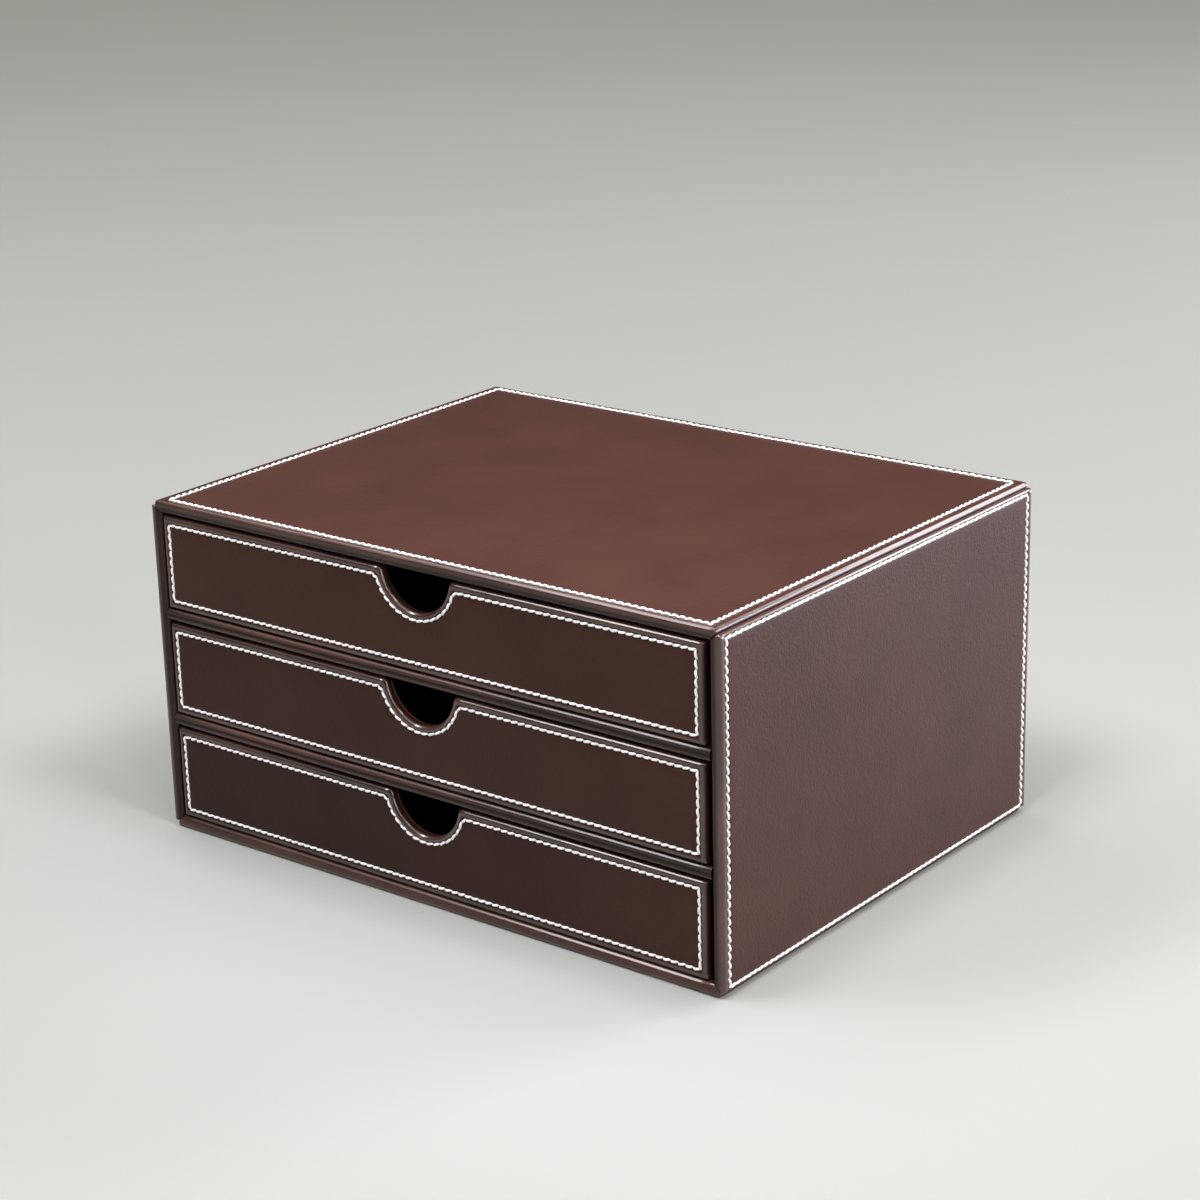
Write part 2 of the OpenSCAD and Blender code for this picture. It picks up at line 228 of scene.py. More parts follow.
def embossedLeather(name, look):
    # PU leather: a dyed film with an embossed pebble grain, semi-gloss, so edges catch a soft
    # bright line and flat faces show a fine broken sheen.
    material, tree = newMaterial(name)
    coord = addNode(tree, "ShaderNodeTexCoord").outputs["Object"]
    warp = addNode(tree, "ShaderNodeTexNoise", values={"Scale": 0.35 / (look["grain"] * mm), "Detail": 1.0},
                   links={"Vector": coord})
    shift = addNode(tree, "ShaderNodeVectorMath", settings={"operation": "MULTIPLY_ADD"},
                    values={1: (look["grain"] * mm,) * 3}, links={0: warp.outputs["Color"], 2: coord})
    pebble = addNode(tree, "ShaderNodeTexVoronoi", settings={"feature": "SMOOTH_F1"},
                     values={"Scale": 1 / (look["grain"] * mm), "Smoothness": 0.35, "Randomness": 0.9},
                     links={"Vector": shift.outputs["Vector"]})
    pores = addNode(tree, "ShaderNodeTexNoise", values={"Scale": 2.2 / (look["grain"] * mm), "Detail": 2.0},
                    links={"Vector": coord})
    wave = addNode(tree, "ShaderNodeTexNoise", values={"Scale": 1 / (look["wave"] * mm), "Detail": 1.0},
                   links={"Vector": coord})
    cloud = addNode(tree, "ShaderNodeTexNoise", values={"Scale": 1 / (look["cloud"] * mm), "Detail": 4.0},
                    links={"Vector": coord})
    clouded = addNode(tree, "ShaderNodeMapRange", values={"From Min": 0.3, "From Max": 0.7},
                      links={"Value": cloud.outputs["Fac"]})
    dye = addNode(tree, "ShaderNodeMixRGB", values={"Color1": linearColour(look["deep"]),
                  "Color2": linearColour(look["light"])}, links={"Fac": clouded.outputs["Result"]})
    # Painted shade: the "shade" attribute mixes the dark colour over the shelf covers, turned-in edges, notch
    # walls and the fronts' ends.
    shade = addNode(tree, "ShaderNodeAttribute", settings={"attribute_name": "shade"})
    paintedShadeMix = addNode(tree, "ShaderNodeMixRGB", values={"Color2": linearColour(look["dark"])},
                  links={"Fac": shade.outputs["Fac"], "Color1": dye.outputs["Color"]})
    # The "wear" attribute, made patchy by the clouds, mixes in the paler brown: partly rubbed leather, partly
    # a painted highlight.
    wear = addNode(tree, "ShaderNodeAttribute", settings={"attribute_name": "wear"})
    patchy = addNode(tree, "ShaderNodeMapRange", values={"From Min": 0.4, "From Max": 0.7, "To Max": 0.22},
                     links={"Value": cloud.outputs["Fac"]})
    burnishAndHighlightShare = addNode(tree, "ShaderNodeMath", settings={"operation": "MULTIPLY"},
                  links={0: wear.outputs["Fac"], 1: patchy.outputs["Result"]})
    burnishedAndHighlit = addNode(tree, "ShaderNodeMixRGB", values={"Color2": linearColour(look["burnishAndHighlight"])},
                     links={"Fac": burnishAndHighlightShare.outputs["Value"], "Color1": paintedShadeMix.outputs["Color"]})
    # Painted warm highlight: the "tan" attribute mixes in the orange tan where a reflection is painted.
    tan = addNode(tree, "ShaderNodeAttribute", settings={"attribute_name": "tan"})
    colour = addNode(tree, "ShaderNodeMixRGB", values={"Color2": linearColour(look["tan"])},
                     links={"Fac": tan.outputs["Fac"], "Color1": burnishedAndHighlit.outputs["Color"]})
    flatGloss = addNode(tree, "ShaderNodeMapRange", values={"To Min": 0.44, "To Max": 0.54},
                        links={"Value": pores.outputs["Fac"]})
    gloss = addNode(tree, "ShaderNodeMapRange", values={"To Max": 0.30},
                    links={"Value": wear.outputs["Fac"], "To Min": flatGloss.outputs["Result"]})
    swell = addNode(tree, "ShaderNodeBump", values={"Strength": 1.0, "Distance": look["waveDepth"] * mm},
                    links={"Height": wave.outputs["Fac"]})
    crease = addNode(tree, "ShaderNodeTexNoise", values={"Scale": 1 / (look["crease"] * mm), "Detail": 1.0},
                     links={"Vector": shift.outputs["Vector"]})
    folds = addNode(tree, "ShaderNodeBump", values={"Strength": 1.0, "Distance": look["creaseDepth"] * mm},
                    links={"Height": crease.outputs["Fac"], "Normal": swell.outputs["Normal"]})
    rough = addNode(tree, "ShaderNodeBump", values={"Strength": 0.5, "Distance": look["grainDepth"] * mm / 2},
                    links={"Height": pores.outputs["Fac"], "Normal": folds.outputs["Normal"]})
    grain = addNode(tree, "ShaderNodeBump", settings={"invert": True},
                    values={"Strength": 0.8, "Distance": look["grainDepth"] * mm},
                    links={"Height": pebble.outputs["Distance"], "Normal": rough.outputs["Normal"]})
    polish = addNode(tree, "ShaderNodeMath", settings={"operation": "MULTIPLY"}, values={1: look["polish"]},
                     links={0: wear.outputs["Fac"]})
    skin = addNode(tree, "ShaderNodeBsdfPrincipled",
                   values={"Specular IOR Level": look["specular"], "Coat Roughness": look["polishRoughness"],
                           "Coat IOR": look["polishIndex"]},
                   links={"Base Color": colour.outputs["Color"], "Roughness": gloss.outputs["Result"],
                          "Normal": grain.outputs["Normal"], "Coat Weight": polish.outputs["Value"],
                          "Coat Normal": swell.outputs["Normal"]})
    addNode(tree, "ShaderNodeOutputMaterial", links={"Surface": skin.outputs["BSDF"]})
    return material


clothLook = {
    "velvet paper": {"dark": "#0d0b0c", "pale": "#1d191a", "fibre": 0.35, "depth": 0.12, "sheen": 0.35},
    "pressed felt": {"dark": "#0f0e0f", "pale": "#232122", "fibre": 0.6, "depth": 0.2, "sheen": 0.15},
    "leather paper": {"dark": "#1d1513", "pale": "#2c211e", "fibre": 0.9, "depth": 0.05, "sheen": 0.0},
    "raw fibreboard": {"dark": "#8a6a48", "pale": "#b49570", "fibre": 0.5, "depth": 0.04, "sheen": 0.0},
}


def fibrous(name, look):
    # Short fibres with no gloss: a fine soft speckle, and on velvet and felt a pale bloom at the rim.
    material, tree = newMaterial(name)
    coord = addNode(tree, "ShaderNodeTexCoord").outputs["Object"]
    fibre = addNode(tree, "ShaderNodeTexNoise", values={"Scale": 1 / (look["fibre"] * mm), "Detail": 3.0,
                    "Roughness": 0.7}, links={"Vector": coord})
    patch = addNode(tree, "ShaderNodeTexNoise", values={"Scale": 1 / (12 * mm), "Detail": 2.0},
                    links={"Vector": coord})
    mix = addNode(tree, "ShaderNodeMath", settings={"operation": "MULTIPLY"},
                  links={0: fibre.outputs["Fac"], 1: patch.outputs["Fac"]})
    spread = addNode(tree, "ShaderNodeMapRange", values={"From Min": 0.1, "From Max": 0.45},
                     links={"Value": mix.outputs["Value"]})
    colour = addNode(tree, "ShaderNodeMixRGB", values={"Color1": linearColour(look["dark"]),
                     "Color2": linearColour(look["pale"])}, links={"Fac": spread.outputs["Result"]})
    nap = addNode(tree, "ShaderNodeBump", values={"Strength": 0.8, "Distance": look["depth"] * mm},
                  links={"Height": fibre.outputs["Fac"]})
    skin = addNode(tree, "ShaderNodeBsdfPrincipled",
                   values={"Roughness": 0.88, "Specular IOR Level": 0.2, "Sheen Weight": look["sheen"],
                           "Sheen Roughness": 0.5},
                   links={"Base Color": colour.outputs["Color"], "Normal": nap.outputs["Normal"]})
    addNode(tree, "ShaderNodeOutputMaterial", links={"Surface": skin.outputs["BSDF"]})
    return material


threadLook = {
    "pale": "#ffffff",
    "shade": "#f0eeee",
    "twist": 0.55,  # width of the filaments' pattern, drawn coarser than real so that it shows
    "roughness": 0.45,
    "specular": 0.4,
    "sheen": 0.3,
    "fuzz": 0.04,  # height of the loose fibres
}


def waxedThread(name, look):
    # Waxed polyester: near-white filaments under wax, which gives each stitch a soft gloss and a faint bloom.
    material, tree = newMaterial(name)
    coord = addNode(tree, "ShaderNodeTexCoord").outputs["Object"]
    filament = addNode(tree, "ShaderNodeTexNoise", values={"Scale": 1 / (look["twist"] * mm), "Detail": 2.0},
                       links={"Vector": coord})
    colour = addNode(tree, "ShaderNodeMixRGB", values={"Color1": linearColour(look["shade"]),
                     "Color2": linearColour(look["pale"])}, links={"Fac": filament.outputs["Fac"]})
    fuzz = addNode(tree, "ShaderNodeBump", values={"Strength": 0.4, "Distance": look["fuzz"] * mm},
                   links={"Height": filament.outputs["Fac"]})
    skin = addNode(tree, "ShaderNodeBsdfPrincipled",
                   values={"Roughness": look["roughness"], "Specular IOR Level": look["specular"],
                           "Sheen Weight": look["sheen"]},
                   links={"Base Color": colour.outputs["Color"], "Normal": fuzz.outputs["Normal"]})
    addNode(tree, "ShaderNodeOutputMaterial", links={"Surface": skin.outputs["BSDF"]})
    return material


finishes = {
    "leather": embossedLeather("embossed PU leather", leatherLook),
    "thread": waxedThread("waxed polyester thread", threadLook),
    "velvet": fibrous("velvet paper", clothLook["velvet paper"]),
    "felt": fibrous("pressed felt", clothLook["pressed felt"]),
    "lining": fibrous("leather paper", clothLook["leather paper"]),
    "fibreboard": fibrous("raw fibreboard", clothLook["raw fibreboard"]),
}
for part in frame["record"]["subparts"]:
    plain = nodes[part["node"]].data
    plain.materials.clear()
    plain.materials.append(finishes[part["material_slot"]])
print(len(finishes), "finishes made")


# Boards wrapped in leather.
wrapLook = {
    "edge": 1.8,  # radius of the leather over an edge
    "underEdge": 2.5,  # the same on its inner side
    "corner": 1.1,  # radius of a board's corner, seen flat
    "shoulder": 2.2,  # radius where a finger notch meets the top edge
    "seamShoulder": 2.0,  # the least radius of the same corner further in
    "furrow": 0.6,  # depth of the seam's furrow
    "furrowWidth": 0.62,  # half the furrow's width, where it is half as deep
    "sink": 0.10,  # the leather's wider dip either side of a seam
    "sinkWidth": 2.6,
    "lip": 0.10,  # how far the leather swells between seam and edge
    "ripple": 0.07,  # unevenness of the edges
    "pitch": 4.0,  # one stitch
    "turnIn": 14.0,  # leather turned in behind the cabinet's edges
    "lining": 1.0,  # thickness of the sheet let into the inner face
    "spacing": 1.0,  # distance between mesh points along a seam
}
seamOffsets = [9.0, 5.5, 3.4, 2.2, 1.5, 1.05, 0.7, 0.35, 0.0, -0.35, -0.7, -1.05]  # in from the seam
denseOffsets = [1.5, 1.05, 0.7, 0.35, 0.0, -0.35, -0.7, -1.05]
plainOffsets = [9.0, 3.4, -1.05]
feltOffsets = [10.0, 10.0, -1.05]  # the first step is the edge of the sheet let into the face
edgeCount = 10  # steps of a profile over the outer edge, after the offsets above
sideEnd = 13  # where the steps down the board's side end
innerEnd = 19  # and those round its inner edge


def edgeSteps(start, arcStart, radius, thick, count):
    # From a flat spot near the edge, over the rounded edge, to where the leather points sideways.
    flat = start - arcStart
    if flat > 0.01:
        steps = [(start - flat * i / 3, thick) for i in range(1, 4)]
        first = 0.0
        arcCount = count - 3
    else:
        steps = []
        first = math.asin(min(1.0, -flat / radius))
        arcCount = count
    for i in range(1, arcCount + 1):
        angle = first + (math.pi / 2 - first) * i / arcCount
        steps.append((arcStart - radius * math.sin(angle), thick - radius * (1 - math.cos(angle))))
    return steps


def edgeProfile(kind, seamInset, thick, look, offsets, recess):
    # Points (inset from the edge, height over the inner face) from the outer face round to the
    # inner one. Every kind gives as many points, so that rings of them join at the corners.
    radius = look["edge"]
    arcStart = radius / math.tan(math.radians(22.5)) if kind == "mitred" else radius
    points = [(seamInset + offset, thick) for offset in offsets]
    if offsets is feltOffsets:
        points[0] = (look["turnIn"], thick - look["lining"])
    points += edgeSteps(seamInset + offsets[-1], arcStart, radius, thick, edgeCount)
    under = [math.radians(angle) for angle in (105, 120, 135)]
    if kind == "mitred":
        points += [(arcStart - radius * math.sin(a), thick - radius * (1 - math.cos(a))) for a in under]
        inset, height = points[-1]
        foot = 0.1
        for i in range(1, 7):
            share = i / 6
            points.append((inset + (thick - foot - inset) * share, height + (foot - height) * share))
        points += [(thick - 0.05, 0.0), (thick, 0.0)]
    else:
        points += [(0.0, thick - radius * (1 - math.cos(a))) for a in under]
        inner = look["underEdge"]
        for i in range(6):
            angle = math.pi / 2 * i / 5
            points.append((inner - inner * math.cos(angle), inner - inner * math.sin(angle)))
        points += [(inner + 0.6, 0.0), (max(recess, inner + 1.2), 0.0)]
    if recess:
        points.append((points[-1][0], look["lining"]))
    return points


def flatProfile(count, thick, heights):
    return [(0.02 * (count - i) if height >= thick else 0.0, height) for i, height in enumerate(heights)]


def smooth(share):
    share = min(1.0, max(0.0, share))
    return share * share * (3 - 2 * share)


def spread(first, last, count):
    return [first + (last - first) * i / count for i in range(count)]


def ringPath(board, insets, counts):
    # One closed ring as (x, y, side, share of the side's own profile). Sides: 0 top, 1 right,
    # 2 bottom, 3 left, 4 notch. It starts at the middle of the corner between left and top.
    insetX, insetY, insetNotch = insets
    halfX = board["width"] / 2 - insetX
    halfY = board["depth"] / 2 - insetY
    corner = max(0.25, board["corner"] - min(insetX, insetY))
    runX, runY, turn, shoulderCount, arcCount = counts
    path = []

    def addCorner(centreX, centreY, first, last):
        for angle in spread(first, last, turn):
            a = math.radians(angle)
            across = abs(math.sin(a))  # 1 on a top or bottom side, 0 on a left or right side
            path.append((centreX + corner * math.cos(a), centreY + corner * math.sin(a), "corner",
                         smooth(math.asin(across) / (math.pi / 2))))

    def addLine(x0, y0, x1, y1, count, side):
        for x, y in zip(spread(x0, x1, count), spread(y0, y1, count)):
            path.append((x, y, side, 1.0))

    cx, cy = halfX - corner, halfY - corner
    addCorner(-cx, cy, 135, 90)
    if board.get("notch"):
        addNotchSide(path, board, insetY, insetNotch, cx, halfY, counts, addLine)
        addCorner(cx, cy, 90, 45)
        addCorner(cx, cy, 45, 0)
        addLine(halfX, cy, halfX, -cy, runY, "right")
        addCorner(cx, -cy, 0, -45)
        addCorner(cx, -cy, -45, -90)
        middle = board["notch"] + board["notchSeam"] + 1.0
        addLine(cx, -halfY, middle, -halfY, runX, "bottom")
        addLine(middle, -halfY, -middle, -halfY, 2 * shoulderCount + arcCount, "bottom")
        addLine(-middle, -halfY, -cx, -halfY, runX, "bottom")
    else:
        addLine(-cx, halfY, cx, halfY, runX, "top")
        addCorner(cx, cy, 90, 45)
        addCorner(cx, cy, 45, 0)
        addLine(halfX, cy, halfX, -cy, runY, "right")
        addCorner(cx, -cy, 0, -45)
        addCorner(cx, -cy, -45, -90)
        addLine(cx, -halfY, -cx, -halfY, runX, "bottom")
    addCorner(-cx, -cy, -90, -135)
    addCorner(-cx, -cy, -135, -180)
    addLine(-halfX, -cy, -halfX, cy, runY, "left")
    addCorner(-cx, cy, 180, 135)
    return path


def addNotchSide(path, board, insetY, insetNotch, cx, halfY, counts, addLine):
    runX, _, _, shoulderCount, arcCount = counts
    radius = board["notch"] + insetNotch
    shoulder = max(board["seamShoulder"], board["shoulder"] - min(insetY, insetNotch))
    top = board["depth"] / 2
    lower = board["notchRise"] + insetY + shoulder
    centreX = math.sqrt((radius + shoulder) ** 2 - lower ** 2)
    tilt = math.asin(lower / (radius + shoulder))
    addLine(-cx, halfY, -centreX, halfY, runX, "top")
    for i in range(shoulderCount):
        share = i / shoulderCount
        angle = math.pi / 2 + (tilt - math.pi / 2) * share
        path.append((-centreX + shoulder * math.cos(angle), halfY - shoulder + shoulder * math.sin(angle),
                     "shoulder", smooth(share)))
    for angle in spread(math.pi + tilt, 2 * math.pi - tilt, arcCount):
        y = top + board["notchRise"] + radius * math.sin(angle)
        path.append((radius * math.cos(angle), y, "notch", 1.0))
    for i in range(shoulderCount):
        share = i / shoulderCount
        angle = math.pi - tilt + (tilt - math.pi / 2) * share
        path.append((centreX + shoulder * math.cos(angle), halfY - shoulder + shoulder * math.sin(angle),
                     "shoulder", smooth(1 - share)))
    addLine(centreX, halfY, cx, halfY, runX, "top")


def stitchPhase(board, x, y, side):
    # Where a point lies along its seam, counted in stitches from the first needle hole.
    if side in ("top", "bottom"):
        run = 2 * board["seamX"]
        if board.get("notch") and side == "top":
            run = board["seamX"] - board["notchSeamX"]
            x = abs(x) - board["notchSeamX"] - board["seamX"]
        return (x + board["seamX"]) / run * round(run / board["pitch"])
    if side in ("left", "right"):
        run = 2 * board["seamY"]
        return (y + board["seamY"]) / run * round(run / board["pitch"])
    if side == "notch":
        angle = math.atan2(board["depth"] / 2 + board["notchRise"] - y, x)
        tilt = board["notchSeamTurn"]
        run = (board["notch"] + board["notchSeam"]) * (math.pi - 2 * tilt)
        return (angle - tilt) / (math.pi - 2 * tilt) * round(run / board["pitch"])
    return 0.0


def buildBoard(name, board, place):
    # A leather-wrapped board in its own flat frame, outer face up, set where `place` says.
    look = wrapLook
    thick = board["thick"]
    board = dict(board, corner=board.get("corner", look["corner"]), shoulder=look["shoulder"],
                 seamShoulder=look["seamShoulder"], pitch=look["pitch"])
    sewn = "seamX" in board
    offsets = seamOffsets if sewn else feltOffsets if board.get("felt") else plainOffsets
    insetX = board["width"] / 2 - board["seamX"] if sewn else 4.0
    insetY = board["depth"] / 2 - board["seamY"] if sewn else 4.0
    alongY = edgeProfile("wrapped", insetY, thick, look, offsets, board["recessY"])
    if board["ends"] == "flat":
        alongX = flatProfile(len(alongY), thick, [z for _, z in alongY])
    else:
        alongX = edgeProfile(board["ends"], insetX, thick, look, offsets, board["recessX"])
    notchInset = board.get("notchSeam", insetY)
    notchRecess = board.get("recessNotch", board["recessY"])
    alongNotch = edgeProfile("wrapped", notchInset, thick, look, offsets, notchRecess)
    spacing = board.get("spacing", look["spacing"])
    straight = board["width"] if not board.get("notch") else board["width"] / 2 - 22
    runX, runY = (4 * max(2, round(length / spacing / 4)) for length in (straight, board["depth"]))
    counts = [runX, runY, 4, 4, 64]
    vertices, touch, faces, rings = [], [], [], []
    total = len(alongY)
    for k in range(total):
        offset = offsets[k] if k < len(offsets) else None
        dense = sewn and offset in denseOffsets
        scale = 1 if dense else 2
        if k == 0:
            scale = 4
        ringCounts = [c // scale for c in counts]
        insets = (alongX[k][0], alongY[k][0], alongNotch[k][0])
        heights = {"left": alongX[k][1], "right": alongX[k][1], "top": alongY[k][1], "bottom": alongY[k][1],
                   "notch": alongNotch[k][1]}
        ring = []
        for x, y, side, share in ringPath(board, insets, ringCounts):
            if side == "corner":
                z = alongX[k][1] + (alongY[k][1] - alongX[k][1]) * share
            elif side == "shoulder":
                z = alongY[k][1] + (alongNotch[k][1] - alongY[k][1]) * share
            else:
                z = heights[side]
            if sewn and offset is not None:
                beat = math.cos(2 * math.pi * stitchPhase(board, x, y, side))
                bed = math.exp(-(offset / look["furrowWidth"]) ** 2 * 0.7)
                z -= look["furrow"] * bed * (0.86 + 0.14 * beat)
                z -= look["sink"] * math.exp(-(offset / look["sinkWidth"]) ** 2) * (1.0 + 0.35 * beat)
            onEdge = len(offsets) <= k < len(offsets) + edgeCount
            if onEdge:
                fraction = (k - len(offsets) + 1) / edgeCount
                z += look["lip"] * math.sin(math.pi * min(1.0, fraction * 1.3)) if sewn else 0
                uneven = noise.noise(Vector((x / 24, y / 24, board["seed"])))
                uneven += 0.6 * noise.noise(Vector((x / 7, y / 7, board["seed"] + 5)))
                z += look["ripple"] * uneven * math.sin(math.pi * fraction)
            ring.append(len(vertices))
            vertices.append(Vector((x, y, z)))
            touch.append(edgeTouch(board, k - len(offsets), x, side))
        rings.append(ring)
    for outer, inner in zip(rings, rings[1:]):
        joinRings(faces, outer, inner)
    fillPatch(vertices, faces, rings[0], [c // 4 for c in counts], board, up=True)
    fillPatch(vertices, faces, rings[-1], [c // 2 for c in counts], board, up=False)
    touch += [(0.0, 0.0, paintedFaceShade(board, v.x)) for v in vertices[len(touch):]]
    return makePiece(name, vertices, faces, place, touch)


def edgeTouch(board, step, x, side):
    # How rubbed and glossy the leather is (which also paints a highlight), how much painted warm highlight
    # ("tan") and how much painted shade ("shade") it gets, step by step from the outer edge to the inner one.
    notched = side in ("notch", "shoulder")
    outer = min(1.0, 2 * math.sin(math.pi * (step + 1) / 12)) if 0 <= step < edgeCount else 0.0
    between = board.get("between", 0.45) if edgeCount <= step < sideEnd else 0.0
    inner = 0.0
    if sideEnd <= step < innerEnd:
        inner = math.sin(math.pi * (step - sideEnd + 1) / (innerEnd - sideEnd + 1))
    outerWear = 1.0 if notched else board.get("outerWear", 0.85)
    wear = max(outer * outerWear, between * (0.2 if notched else 1.0), inner * board.get("innerWear", 0.8))
    along = x / board["width"] + 0.5  # from 0 at the left end to 1 at the right
    # The painted warm highlight rises from the left end and fades towards the right.
    fade = smooth(along * 7) * smooth(1 - along)
    tan = max(math.exp(-((step - 6.5) / 1.7) ** 2) * board.get("outerPaintedHighlight", 0.0),
              inner * board.get("innerPaintedHighlight", 0.0)) * fade
    shade = paintedFaceShade(board, x)
    # Painted shade on a front's right end, beside the wider gap.
    if side == "right":
        dim = board.get("rightPaintedShade", 0.0) * smooth((step - 3) / 3)
        shade = max(shade, dim)
        wear *= 1 - dim
    # In a notch: painted warm highlight on the rear rim, painted shade on the inner wall.
    if notched:
        tan = max(tan, math.exp(-((step - 15.5) / 1.5) ** 2) * board.get("rimPaintedHighlight", 0.0))
        shade = max(shade, 0.9 * smooth((step - 7) / 3))
    # Painted shade on the turned-in leather of the inner edge.
    return wear, tan, max(shade, board.get("innerShade", 0.0) * smooth((step - 9) / 4))


def paintedFaceShade(board, x):
    # Painted shade: darker over the shelf covers, and towards the fronts' left ends, most on the lower
    # fronts.
    return board.get("shade", 0.0) + board.get("leftPaintedShade", 0.0) * smooth(0.75 - x / board["width"])


def joinRings(faces, first, second):
    if len(first) == len(second):
        count = len(first)
        for i in range(count):
            j = (i + 1) % count
            faces.append((first[i], first[j], second[j], second[i]))
        return
    fine, coarse = (first, second) if len(first) > len(second) else (second, first)
    step = len(fine) // len(coarse)
    for i in range(len(coarse)):
        j = (i + 1) % len(coarse)
        edge = [fine[(i * step + n) % len(fine)] for n in range(step + 1)]
        loop = edge + [coarse[j], coarse[i]]
        faces.append(tuple(loop) if fine is first else tuple(reversed(loop)))


def fillPatch(vertices, faces, ring, counts, board, up):
    # Fills the flat middle of a face with a grid whose lines run on from the ring's own points.
    runX, runY, turn, shoulderCount, arcCount = counts
    across = runX + 2 * turn
    if board.get("notch"):
        across = 2 * runX + 2 * shoulderCount + arcCount + 2 * turn
    down = runY + 2 * turn
    top = [ring[i] for i in range(across + 1)]
    right = [ring[across + i] for i in range(down + 1)]
    bottom = [ring[2 * across + down - i] for i in range(across + 1)]
    left = [ring[(2 * across + 2 * down - i) % len(ring)] for i in range(down + 1)]
    grid = [[None] * (across + 1) for _ in range(down + 1)]
    grid[0] = top
    grid[down] = bottom
    corners = [vertices[top[0]], vertices[top[-1]], vertices[bottom[0]], vertices[bottom[-1]]]
    for j in range(1, down):
        a, b = vertices[left[j]], vertices[right[j]]
        v = (corners[0].y - a.y) / (corners[0].y - corners[2].y)
        grid[j][0] = left[j]
        grid[j][across] = right[j]
        for i in range(1, across):
            c, d = vertices[top[i]], vertices[bottom[i]]
            u = (d.x - corners[2].x) / (corners[3].x - corners[2].x)
            spot = c * (1 - v) + d * v + a * (1 - u) + b * u
            spot -= (corners[0] * (1 - u) + corners[1] * u) * (1 - v)
            spot -= (corners[2] * (1 - u) + corners[3] * u) * v
            grid[j][i] = len(vertices)
            vertices.append(spot)
    for j in range(down):
        for i in range(across):
            loop = (grid[j][i], grid[j + 1][i], grid[j + 1][i + 1], grid[j][i + 1])
            faces.append(loop if up else tuple(reversed(loop)))


def makePiece(name, vertices, faces, place, touch=None, sharp=50):
    mesh = bpy.data.meshes.new(name)
    mesh.from_pydata([(place @ v) * mm for v in vertices], [], faces)
    mesh.polygons.foreach_set("use_smooth", [True] * len(mesh.polygons))
    mesh.set_sharp_from_angle(angle=math.radians(sharp))
    if touch:
        for key, values in zip(("wear", "tan", "shade"), zip(*touch)):
            mesh.attributes.new(key, "FLOAT", "POINT").data.foreach_set("value", values)
    mesh.update()
    piece = bpy.data.objects.new(name, mesh)
    bpy.context.scene.collection.objects.link(piece)
    return piece


def dress(piece, body, slot, *replaced):
    piece.data.materials.clear()
    piece.data.materials.append(finishes[slot])
    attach(piece, body)
    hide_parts(*replaced)


def boxOf(node):
    low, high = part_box(node)
    return low / mm, high / mm


topLow, topHigh = boxOf("top_cover")
leftLow, _ = boxOf("left_cover")
_, rightHigh = boxOf("right_cover")
bottomLow, _ = boxOf("bottom_cover")
backLow, backHigh = boxOf("back_cover")
boxWidth = rightHigh.x - leftLow.x
boxDepth = topHigh.y - topLow.y
boxHeight = topHigh.z - bottomLow.z
panelThick = topHigh.z - topLow.z
quarter = math.radians(90)


def seamHalf(node, axis, threadRadius=0.55):
    # Half the length of a seam's own line, from the CAD seam and the radius of its plain thread.
    low, high = boxOf(node)
    return (high[axis] - low[axis]) / 2 - threadRadius


places = {
    "top": Matrix.Translation((0, 0, boxHeight - panelThick)),
    "bottom": Matrix.Translation((0, 0, panelThick)) @ Matrix.Rotation(2 * quarter, 4, "Y"),
    "left": Matrix.Translation((panelThick - boxWidth / 2, 0, boxHeight / 2))
    @ Matrix.Rotation(-quarter, 4, "Y"),
    "right": Matrix.Translation((boxWidth / 2 - panelThick, 0, boxHeight / 2))
    @ Matrix.Rotation(quarter, 4, "Y"),
    "back": Matrix.Translation((0, backLow.y, boxHeight / 2)) @ Matrix.Rotation(2 * quarter, 4, "Z")
    @ Matrix.Rotation(quarter, 4, "X"),
}
panels = {
    "top": {"width": boxWidth, "seamX": seamHalf("top_stitching", 0),
            "seamY": seamHalf("top_stitching", 1)},
    "left": {"width": boxHeight, "seamX": seamHalf("left_stitching", 2),
             "seamY": seamHalf("left_stitching", 1)},
    "right": {"width": boxHeight, "seamX": seamHalf("right_stitching", 2),
              "seamY": seamHalf("right_stitching", 1)},
}
# The panels' inner edges get painted shade where their turned-in leather shows in the gaps.
for i, (side, panel) in enumerate(panels.items()):
    panel.update(depth=boxDepth, thick=panelThick, ends="mitred", recessX=panelThick,
                 recessY=wrapLook["turnIn"], seed=i * 7.3, innerWear=0.2, innerShade=0.9)
panels["back"] = {
    "width": backHigh.x - backLow.x, "depth": backHigh.z - backLow.z,
    "thick": panelThick, "ends": "wrapped",
    "seamX": seamHalf("back_stitching", 0), "seamY": seamHalf("back_stitching", 2),
    "recessX": wrapLook["turnIn"], "recessY": wrapLook["turnIn"], "seed": 31.0,
}
panels["top"]["outerWear"] = 0.5  # its front edge is less rubbed and glossy than the sides', with less of the paler brown that also paints a highlight
for side, panel in panels.items():
    piece = buildBoard(side + "_leather", panel, places[side])
    dress(piece, "cabinet", "leather", side + "_cover")
print("cabinet panels wrapped")

